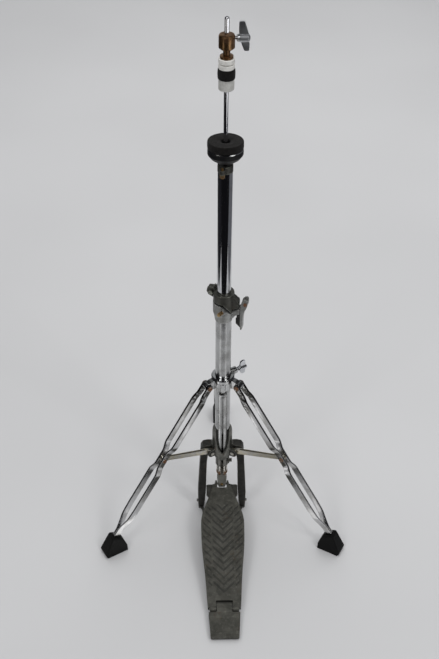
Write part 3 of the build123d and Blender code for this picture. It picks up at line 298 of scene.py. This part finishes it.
def felt(name, colour, light):
    """Pressed felt: matted fibres, lint and a soft sheen."""
    m = Nodes(name)
    fibre = m.noise(1400, 6, 0.75, distortion=2.5)
    clump = m.noise(260, 4, 0.6)
    lint = m.ramp(m.noise(900, 3, 0.5, m.mapped((1, 1, 3), (0.6, 0.2, 0.9))), 0.66, 0.74)
    base = m.mix(m.ramp(clump, 0.3, 0.75), colour, tuple(c * 1.9 for c in colour))
    base = m.mix(m.math("MULTIPLY", lint, 0.5), base, light)
    m.out("Base Color", base)
    m.out("Roughness", m.ramp(fibre, 0.2, 0.8, 0.85, 1.0))
    m.out("Sheen Weight", 0.06)
    m.out("Sheen Roughness", 0.6)
    m.out("Specular IOR Level", 0.05)
    m.bump(m.math("ADD", fibre, m.math("MULTIPLY", clump, 1.5)), 0.75, 0.0006)
    return m.mat


def sleeve(name):
    """Plated guide sleeve under a dull cast collar, with a ring of rust at its lower end."""
    m = Nodes(name)
    sep = m.add("ShaderNodeSeparateXYZ")
    m.link(m.geo, sep.inputs[0])
    z = sep.outputs["Z"]
    cloud = m.ramp(m.noise(150, 5, 0.65), 0.35, 0.7)
    plate = m.mix(cloud, (0.84, 0.82, 0.77), (0.56, 0.53, 0.46))
    band = m.math("MAXIMUM", m.ramp(z, 0.0915, 0.0865), m.ramp(m.noise(330, 5, 0.7), 0.60, 0.70, 0.0, 0.85))
    bloom = m.math("MULTIPLY", band, m.ramp(m.noise(520, 5, 0.7), 0.30, 0.52))
    rust = m.mix(m.noise(900, 4, 0.6), (0.30, 0.15, 0.06), (0.12, 0.055, 0.025))
    base = m.mix(bloom, plate, rust)
    collar = m.ramp(z, 0.1018, 0.1028)
    base = m.mix(collar, base, m.mix(cloud, (0.34, 0.335, 0.31), (0.22, 0.215, 0.20)))
    m.out("Base Color", base)
    m.out("Metallic", m.blend(bloom, 1.0, 0.25))
    m.out("Roughness", m.math("MAXIMUM", m.blend(bloom, 0.16, 0.7), m.math("MULTIPLY", collar, 0.42)))
    m.bump(m.math("ADD", m.noise(1500, 4, 0.6), bloom), 0.25, 0.0003)
    return m.mat


def moulded(name, colour, alt, rough, grain=1200, bump=0.2, dust=None, dust_amount=0.5, shine=0.5):
    """Moulded rubber, nylon or plastic with a fine grain, scuffs and dust."""
    m = Nodes(name)
    cloud = m.ramp(m.noise(150, 5, 0.6), 0.35, 0.7)
    base = m.mix(cloud, colour, alt)
    if dust:
        film = m.math("MULTIPLY", m.ramp(m.noise(340, 6, 0.7), 0.5, 0.75), dust_amount)
        base = m.mix(film, base, dust)
    m.out("Base Color", base)
    m.out("Roughness", m.blend(cloud, rough, min(rough + 0.15, 1.0)))
    m.out("Specular IOR Level", shine)
    m.bump(m.math("ADD", m.noise(grain, 3, 0.6), m.math("MULTIPLY", m.noise(200, 4, 0.6), 0.6)), bump, 0.0003)
    return m.mat


def tread(name):
    """Worn cast board: dark in the grooves, rubbed lighter on the ridges."""
    m = Nodes(name)
    slope = math.radians(11.07)
    n = Vector((0, -math.sin(slope), math.cos(slope)))
    o = Vector((0, YA - 0.245, 0.014))
    dot = m.add("ShaderNodeVectorMath", operation="DOT_PRODUCT")
    m.link(m.geo, dot.inputs[0])
    dot.inputs[1].default_value = n
    depth = m.math("SUBTRACT", dot.outputs["Value"], n.dot(o))
    top = m.ramp(depth, -0.00085, -0.00012)
    mottle = m.ramp(m.noise(55, 6, 0.65, distortion=0.5), 0.3, 0.7)
    ridge = m.mix(mottle, (0.148, 0.146, 0.127), (0.084, 0.083, 0.072))
    deep = m.mix(mottle, (0.068, 0.067, 0.059), (0.040, 0.039, 0.035))
    base = m.mix(top, deep, ridge)
    rub = m.math("MULTIPLY", m.ramp(m.noise(180, 5, 0.65), 0.5, 0.74), top)
    base = m.mix(m.math("MULTIPLY", rub, 0.55), base, (0.24, 0.235, 0.20))
    stain = m.math("MULTIPLY", m.ramp(m.noise(30, 4, 0.6), 0.52, 0.72), m.ramp(m.noise(210, 4, 0.6), 0.42, 0.66))
    base = m.mix(m.math("MULTIPLY", stain, 0.55), base, (0.11, 0.075, 0.045))
    m.out("Base Color", base)
    m.out("Metallic", m.blend(top, 0.35, 0.65))
    m.out("Roughness", m.blend(rub, 0.58, 0.42))
    m.bump(m.math("ADD", m.noise(1400, 3, 0.6), m.math("MULTIPLY", m.noise(260, 4, 0.6), 1.3)), 0.5, 0.00025)
    return m.mat


MAT = {
    "chrome": plated("chrome_plate", (0.80, 0.81, 0.83), (0.66, 0.665, 0.67), 0.07, (700, 700, 12), pits=0.55),
    # the upper tube gets a painted shade ring at the clamp and the memory lock
    "tube_upper": plated("upper_tube_chrome", (0.64, 0.65, 0.67), (0.50, 0.505, 0.515), 0.05, (900, 900, 8), pits=0.35, dark_zone="clamp"),
    "tube_lower": plated("lower_tube_chrome", (0.47, 0.475, 0.475), (0.31, 0.31, 0.305), 0.17, (1100, 1100, 6), pits=0.6),
    "leg": plated("leg_chrome", (0.62, 0.62, 0.63), (0.42, 0.415, 0.40), 0.15, None, pits=0.8, dark_zone="hub"),
    "hub": plated("hub_chrome", (0.58, 0.585, 0.59), (0.36, 0.36, 0.35), 0.14, None, pits=0.7),
    "rod": plated("rod_chrome", (0.86, 0.87, 0.90), (0.72, 0.72, 0.75), 0.06, (900, 900, 10), pits=0.2),
    "wing": plated("wing_screw_chrome", (0.80, 0.81, 0.83), (0.60, 0.61, 0.625), 0.30, None, pits=0.3),
    "wing_hub": plated("hub_screw_chrome", (0.74, 0.75, 0.78), (0.52, 0.53, 0.55), 0.13, None, pits=0.3),
    "light_cast": cast("light_casting", (0.42, 0.425, 0.415), (0.30, 0.30, 0.285), (0.62, 0.62, 0.60), 0.38, 0.8),
    "lock_cast": cast("lock_casting", (0.105, 0.105, 0.092), (0.060, 0.058, 0.050), (0.42, 0.43, 0.37), 0.36, 0.75, rust=0.4),
    "base_cast": cast("base_casting_skin", (0.048, 0.047, 0.042), (0.028, 0.027, 0.024), (0.15, 0.15, 0.135), 0.46, 0.5, rust=0.45, socket=(0.22, 0.22, 0.20)),
    "rod_cast": cast("flat_bar_skin", (0.060, 0.059, 0.053), (0.034, 0.033, 0.030), (0.16, 0.16, 0.145), 0.44, 0.55, rust=0.45),
    # a dark copy of the lever's casting: painted shade for its hollow side
    "lever_painted_shade": cast("lever_hollow_painted_shade", (0.070, 0.070, 0.066), (0.035, 0.035, 0.033), (0.20, 0.20, 0.19), 0.45, 0.6),
    "link_cast": cast("link_casting", (0.43, 0.43, 0.39), (0.28, 0.275, 0.245), (0.62, 0.62, 0.57), 0.42, 0.7),
    "board": tread("board_casting"),
    "bronze": bronze("aged_bronze"),
    "brass": rusty("rusted_brass", (0.52, 0.36, 0.17), (0.22, 0.10, 0.04), (0.08, 0.035, 0.018), 0.35, 0.3),
    "rust": rusty("rusted_rivet", (0.40, 0.37, 0.33), (0.26, 0.11, 0.045), (0.10, 0.045, 0.022), 0.75, 0.38),
    "brace": tarnished("brace_zinc", (0.66, 0.61, 0.48), (0.60, 0.59, 0.56), (0.30, 0.23, 0.13)),
    "steel": tarnished("aged_steel", (0.42, 0.40, 0.35), (0.34, 0.335, 0.32), (0.12, 0.10, 0.08), 0.3),
    "sleeve": sleeve("sleeve_steel"),
    "spring": tarnished("spring_wire", (0.26, 0.25, 0.24), (0.20, 0.20, 0.20), (0.08, 0.07, 0.06), 0.3),
    "nylon": moulded("white_nylon", (0.78, 0.77, 0.735), (0.66, 0.645, 0.61), 0.38, 900, 0.08, (0.42, 0.38, 0.32), 0.35),
    "nut": moulded("ridged_nut", (0.58, 0.575, 0.55), (0.46, 0.455, 0.43), 0.42, 900, 0.10, (0.16, 0.14, 0.12), 0.5),
    "plastic": moulded("black_plastic", (0.006, 0.006, 0.007), (0.010, 0.010, 0.010), 0.42, 1000, 0.12, (0.035, 0.035, 0.032), 0.2, 0.25),
    "rubber": moulded("black_rubber", (0.0045, 0.0045, 0.0045), (0.008, 0.008, 0.0075), 0.6, 700, 0.35, (0.022, 0.022, 0.02), 0.3, 0.12),
    "felt": felt("black_felt", (0.0060, 0.0054, 0.0050), (0.055, 0.05, 0.045)),
}

KEEP = {
    "lower_tube": "tube_lower", "tube_bush": "plastic", "clamp_bolt": "brass", "lever_pin": "rust",
    "brace_pins": "steel", "stop_bolt": "hub", "guide_screw": "steel", "guide_sleeve": "sleeve",
    "spring_seat": "steel", "return_spring": "spring", "heel_hinge_pin": "steel", "radius_rods": "rod_cast",
    "arm_screws": "steel", "floor_pads": "rubber", "upper_tube": "tube_upper", "memory_lock_screw": "lock_cast",
    "seat_pins": "steel", "seat_washer": "tube_lower", "tilt_screw": "brass", "upper_pull_rod": "rod",
    "rod_coupling": "steel", "lower_pull_rod": "steel", "spring_collar": "steel", "rod_clevis": "steel",
    "clevis_pin": "steel", "clutch_body": "bronze", "clutch_upper_rings": "nylon", "clutch_bottom_nut": "nut",
    "toe_pin": "steel", "link_rivet": "brass", "hub_rivets": "rust",
}
for n in NODES:
    if n.endswith("_leg_rivet"):
        KEEP[n] = "rust"
    if n.endswith("_brace"):
        KEEP[n] = "brace"


def paint(obj, key):
    obj.data.materials.clear()
    obj.data.materials.append(MAT[key])


for n, key in KEEP.items():
    o = NODES[n]
    while len(o.material_slots) < 1:
        o.data.materials.append(None)
    for s in o.material_slots:
        s.material = MAT[key]


# ---------------------------------------------------------- making pieces
def settle(obj):
    """Applies an object's modifiers to its mesh."""
    dg = bpy.context.evaluated_depsgraph_get()
    made = bpy.data.meshes.new_from_object(obj.evaluated_get(dg))
    old = obj.data
    obj.modifiers.clear()
    obj.data = made
    bpy.data.meshes.remove(old)
    made.name = obj.name
    return obj


def attach(obj, node, key, *more):
    paint(obj, key)
    obj.data.shade_smooth()
    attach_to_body(obj, BODY_OF[node])
    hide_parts(node, *more)
    return obj


def from_bmesh(bm, name):
    bmesh.ops.recalc_face_normals(bm, faces=bm.faces)
    me = bpy.data.meshes.new(name)
    bm.to_mesh(me)
    bm.free()
    obj = bpy.data.objects.new(name, me)
    scene.collection.objects.link(obj)
    return obj


def refine(node, name, key, voxel, relax, ratio=1.0):
    """A cast or moulded piece: the CAD body with the soft corners that its mould leaves."""
    bm = bmesh.new()
    bm.from_mesh(NODES[node].data)
    bmesh.ops.remove_doubles(bm, verts=bm.verts, dist=2e-6)
    obj = from_bmesh(bm, name)
    m = obj.modifiers.new("voxels", "REMESH")
    m.mode = "VOXEL"
    m.voxel_size = voxel * MM
    m = obj.modifiers.new("soften", "SMOOTH")
    m.factor = 0.5
    m.iterations = relax
    if ratio < 1:
        m = obj.modifiers.new("thin", "DECIMATE")
        m.ratio = ratio
    settle(obj)
    return attach(obj, node, key)


def lathe(name, profile, origin, axis=(0, 0, 1), steps=96, wobble=None):
    """A turned body: profile is (radius, height) pairs in mm, from the inner bottom round to the inner top."""
    z = Vector(axis).normalized()
    x = Vector((1, 0, 0))
    y = z.cross(x).normalized()
    bm = bmesh.new()
    rings = []
    for k in range(steps):
        t = 2 * math.pi * k / steps
        ring = []
        for radius, height in profile:
            p = Vector(origin) + (x * math.cos(t) + y * math.sin(t)) * radius * MM + z * height * MM
            if wobble:
                p = wobble(p, radius, height, t)
            ring.append(bm.verts.new(p))
        rings.append(ring)
    count = len(profile)
    for k in range(steps):
        a, b = rings[k], rings[(k + 1) % steps]
        for i in range(count):
            j = (i + 1) % count
            bm.faces.new((a[i], b[i], b[j], a[j]))
    return from_bmesh(bm, name)


def rounded(points, radius, steps=5):
    """A closed outline with its corners rounded."""
    out = []
    n = len(points)
    for i, p in enumerate(points):
        p = Vector(p)
        a, b = Vector(points[i - 1]) - p, Vector(points[(i + 1) % n]) - p
        r = min(radius, a.length * 0.45, b.length * 0.45)
        a, b = p + a.normalized() * r, p + b.normalized() * r
        for k in range(steps + 1):
            t = k / steps
            out.append(tuple(a * (1 - t) ** 2 + p * 2 * t * (1 - t) + b * t * t))
    return out


def dense(points, step):
    """The same closed outline with no side longer than step."""
    out = []
    n = len(points)
    for i, p in enumerate(points):
        q = Vector(points[(i + 1) % n])
        p = Vector(p)
        k = max(1, math.ceil((q - p).length / step))
        out += [tuple(p.lerp(q, j / k)) for j in range(k)]
    return out


# ------------------------------------------------------------ felt washers
SEAT_TILT = math.radians(4.0)
SEAT_AXIS = Vector((0, math.sin(SEAT_TILT), math.cos(SEAT_TILT)))
SEAT_AT = Vector((0, YA, 0.726))


def fuzz(scale, size, seed):
    def move(p, radius, height, t):
        q = Vector((p.x * scale, p.y * scale, p.z * scale + seed))
        return p + noise.noise_vector(q) * size * MM + noise.noise_vector(q * 4.1) * size * 0.45 * MM
    return move


def seat_fuzz(p, radius, height, t):
    p = fuzz(90, 0.16, 3.0)(p, radius, height, t)
    # pressed in round the rod, and a little lower where the cymbal has rested
    sink = math.exp(-((radius - 7.5) / 4.0) ** 2) * 0.9 if height > 22 else 0.0
    belly = math.sin(math.pi * min(max((height - 16.4) / 11.4, 0), 1)) * 0.30 if radius > 20 else -0.3 if radius > 20 else 0
    out = (p - SEAT_AT)
    out = out - SEAT_AXIS * out.dot(SEAT_AXIS)
    if out.length > 0:
        p = p + out.normalized() * (belly - 0.35) * MM * (1 if radius > 20 else 0)
    return p - SEAT_AXIS * sink * MM


outline = rounded([(6.7, 16.55), (25.75, 16.55), (25.75, 27.65), (6.7, 27.65)], 1.7, 6)
obj = lathe("seat_felt_pad", dense(outline, 0.8), SEAT_AT, SEAT_AXIS, 132, seat_fuzz)
attach(obj, "seat_felt", "felt")


def clutch_fuzz(p, radius, height, t):
    p = fuzz(110, 0.14, 9.0)(p, radius, height, t)
    if radius > 9:
        belly = math.sin(math.pi * min(max((height - 847.4) / 14.3, 0), 1)) * 0.35 - 0.45
        p.x += math.cos(t) * belly * MM
        p.y += math.sin(t) * belly * MM
    return p


outline = rounded([(4.75, 847.45), (12.05, 847.45), (12.05, 861.65), (4.75, 861.65)], 1.3, 5)
obj = lathe("clutch_felt_pad", dense(outline, 0.8), (0, YA, 0), (0, 0, 1), 84, clutch_fuzz)
attach(obj, "clutch_felt", "felt")

# --------------------------------------------------------- cast and moulded
refine("base_casting", "base_casting_shell", "base_cast", 0.75, 5, 0.5)
refine("clamp_casting", "clamp_casting_shell", "light_cast", 0.42, 5, 0.6)
refine("memory_lock", "memory_lock_shell", "lock_cast", 0.42, 5, 0.6)
lever = refine("clamp_lever", "clamp_lever_shell", "light_cast", 0.34, 6, 0.6)
# faces of the lever's inner channel take the dark copy of the casting: painted shade
lever.data.materials.append(MAT["lever_painted_shade"])
outward = Vector((math.cos(math.radians(-15)), math.sin(math.radians(-15)), 0))
for f in lever.data.polygons:
    reach = (f.center - Vector((0, YA, 0))).dot(outward) / MM
    if f.center.z < 0.4537 and reach < 27.5 + max(0.0, (0.430 - f.center.z) * 90):
        f.material_index = 1
refine("seat_bracket", "seat_bracket_shell", "lock_cast", 0.5, 3, 0.5)
refine("seat_cup", "seat_cup_shell", "plastic", 0.45, 4, 0.5)
refine("footboard", "footboard_casting", "board", 0.5, 3, 0.5)
refine("heel_plate", "heel_plate_casting", "board", 0.5, 4, 0.6)
refine("toe_link", "toe_link_casting", "link_cast", 0.36, 6, 0.6)
refine("leg_hub", "leg_hub_shell", "hub", 0.36, 7, 0.7)
refine("clutch_wing_screw", "clutch_wing_screw_forged", "wing", 0.26, 8, 0.8)
refine("hub_wing_screw", "hub_wing_screw_forged", "wing_hub", 0.26, 8, 0.8)
LEGS = {"front_left": 210.0, "front_right": 330.0, "rear": 90.0}
for leg in LEGS:
    refine(leg + "_foot", leg + "_foot_boot", "rubber", 0.6, 9, 0.6)

# ----------------------------------------------------------------- leg bars
PIVOT_R, PIVOT_Z, MID_R, MID_Z = 30.0, 305.0, 118.0, 178.0
LEG_ANGLE = math.atan2(PIVOT_Z - MID_Z, MID_R - PIVOT_R)
PATH = [
    (-6, 7.25), (19, 7.25), (29, 10.6), (127, 10.6), (138, 5.35), (171, 5.35),
    (182, 10.6), (262, 10.6), (284, 9.6), (300, 5.0), (312, 2.1), (338, 1.9),
]


def bow(u):
    for (u0, v0), (u1, v1) in zip(PATH, PATH[1:]):
        if u <= u1:
            return v0 + (v1 - v0) * (u - u0) / (u1 - u0)
    return PATH[-1][1]


def smooth_bow(u, width=3.2):
    total = weight = 0.0
    for k in range(-6, 7):
        w = math.exp(-0.5 * (k / 2.4) ** 2)
        total += w * bow(min(max(u + k * width / 2.4, -6), 338))
        weight += w
    return total / weight


def leg_bar(node, az, sign):
    c, s = math.cos(math.radians(az)), math.sin(math.radians(az))
    ca, sa = math.cos(LEG_ANGLE), math.sin(LEG_ANGLE)
    origin = Vector((PIVOT_R * c, YA / MM + PIVOT_R * s, PIVOT_Z))
    along = Vector((ca * c, ca * s, -sa))
    out = Vector((sa * c, sa * s, ca))
    across = out.cross(along)
    stations = [-5.8 + 5.8 * (1 - math.cos(math.pi / 2 * k / 10)) for k in range(10)]
    stations += [i * 2.0 for i in range(170)]
    bm = bmesh.new()
    rings = []
    for u in stations:
        v = smooth_bow(u)
        dv = (smooth_bow(u + 0.5) - smooth_bow(u - 0.5))
        t = Vector((1, dv)).normalized()
        side = Vector((-t.y, t.x))
        depth = 5.8 if u >= 0 else math.sqrt(max(5.8 ** 2 - u * u, 0.02))
        hw = 1.75
        corner = min(1.25, depth * 0.8)
        ring = []
        for sx, sy, start in ((1, 1, 0), (-1, 1, 90), (-1, -1, 180), (1, -1, 270)):
            for k in range(5):
                q = math.radians(start + 90 * k / 4)
                a = sx * (hw - corner) + corner * math.cos(q)
                b = sy * (depth - corner) + corner * math.sin(q)
                p = origin + along * (u + side.x * a) + across * (sign * (v + side.y * a)) + out * b
                ring.append(bm.verts.new(p * MM))
        rings.append(ring)
    for a, b in zip(rings, rings[1:]):
        for i in range(20):
            j = (i + 1) % 20
            bm.faces.new((a[i], a[j], b[j], b[i]))
    bm.faces.new(rings[0])
    bm.faces.new(list(reversed(rings[-1])))
    obj = from_bmesh(bm, node + "_formed")
    return attach(obj, node, "leg")


for leg, az in LEGS.items():
    leg_bar(leg + "_leg_bar_a", az, 1)
    leg_bar(leg + "_leg_bar_b", az, -1)

# ------------------------------------------------------------ floor, lights
me = bpy.data.meshes.new("floor")
me.from_pydata([(-8, -8, 0), (8, -8, 0), (8, 8, 0), (-8, 8, 0)], [], [(0, 1, 2, 3)])
floor = bpy.data.objects.new("floor", me)
scene.collection.objects.link(floor)
m = Nodes("pale_floor")
m.out("Base Color", m.mix(m.ramp(m.noise(1.3, 2, 0.5), 0.3, 0.7), (0.60, 0.60, 0.605), (0.57, 0.57, 0.575)))
m.out("Roughness", 0.9)
m.out("Specular IOR Level", 0.0)
floor.data.materials.append(m.mat)


def card(name, corners, colour, strength):
    """A studio card that only shows in reflections."""
    me = bpy.data.meshes.new(name)
    me.from_pydata(corners, [], [(0, 1, 2, 3)])
    o = bpy.data.objects.new(name, me)
    scene.collection.objects.link(o)
    mat = bpy.data.materials.new(name)
    mat.use_nodes = True
    b = mat.node_tree.nodes["Principled BSDF"]
    b.inputs["Base Color"].default_value = (0, 0, 0, 1)
    b.inputs["Roughness"].default_value = 1.0
    b.inputs["Specular IOR Level"].default_value = 0.0
    b.inputs["Emission Color"].default_value = (*colour, 1)
    b.inputs["Emission Strength"].default_value = strength
    me.materials.append(mat)
    o.visible_camera = o.visible_diffuse = o.visible_shadow = False
    o.visible_transmission = o.visible_volume_scatter = False
    return o


def level_card(name, x0, x1, y0, y1, z, colour, strength):
    y0, y1 = y0 + YA, y1 + YA
    return card(name, [(x0, y0, z), (x1, y0, z), (x1, y1, z), (x0, y1, z)], colour, strength)


level_card("dark_front", -6, 6, -6, -0.51, 0.0015, (0.6, 0.6, 0.7), 0.012)
level_card("dark_left", -6, -0.66, -0.51, 2.0, 0.0015, (0.6, 0.6, 0.7), 0.03)
level_card("grey_right", 0.66, 6, -0.51, 2.0, 0.0015, (0.9, 0.92, 1.0), 0.16)
level_card("glow_right", 0.95, 2.1, -2.1, -0.95, 0.003, (1, 1, 1), 2.6)
level_card("glow_left", -2.0, -1.25, -1.75, -1.0, 0.003, (1, 0.97, 0.93), 1.3)


def streak(name, turn, near, far, half, strength):
    """A narrow light strip on the floor, seen only as a streak down the tubes."""
    t = math.radians(turn)
    d, w = Vector((math.sin(t), -math.cos(t), 0)), Vector((math.cos(t), math.sin(t), 0))
    o = Vector((0, YA, 0.003))
    card(name, [o + d * near - w * half, o + d * near + w * half, o + d * far + w * half * 1.6, o + d * far - w * half * 1.6], (1, 1, 1), strength)


streak("streak_left", -48, 0.16, 0.60, 0.022, 1.3)
streak("streak_right", 38, 0.16, 0.60, 0.022, 1.0)

card("wall_back", [(-2.6, 2.7, 0.25), (2.6, 2.7, 0.25), (2.6, 2.7, 3.6), (-2.6, 2.7, 3.6)], (0.96, 0.98, 1.0), 0.42)


def softbox(name, at, size, power, to=(0, 0.0, 0.35), glossy=True, colour=(1, 1, 1)):
    d = bpy.data.lights.new(name, "AREA")
    d.shape = "RECTANGLE"
    d.size, d.size_y = size
    d.energy = power
    d.color = colour
    o = bpy.data.objects.new(name, d)
    scene.collection.objects.link(o)
    o.location = at
    o.rotation_mode = "QUATERNION"
    o.rotation_quaternion = (Vector(to) - Vector(at)).to_track_quat("-Z", "Y")
    o.visible_glossy = glossy
    o.visible_camera = False
    return o


softbox("overhead", (0.35, 0.8, 3.3), (5.2, 5.2), 100, to=(0.35, 0.8, 0), glossy=False)
softbox("key_left", (-1.25, -1.5, 2.5), (0.5, 0.7), 10)
softbox("key_right", (1.35, -1.35, 2.5), (0.5, 0.7), 14)
softbox("back_fill", (0.2, 2.2, 1.9), (2.2, 1.2), 10, glossy=False)

world = bpy.data.worlds.new("studio")
scene.world = world
world.use_nodes = True
nt = world.node_tree
background = nt.nodes["Background"]
path = nt.nodes.new("ShaderNodeLightPath")
mixer = nt.nodes.new("ShaderNodeMix")
mixer.data_type = "RGBA"
mixer.inputs[6].default_value = (0.62, 0.63, 0.65, 1)
mixer.inputs[7].default_value = (0.05, 0.05, 0.055, 1)
nt.links.new(path.outputs["Is Glossy Ray"], mixer.inputs[0])
nt.links.new(mixer.outputs[2], background.inputs["Color"])
background.inputs["Strength"].default_value = 0.42
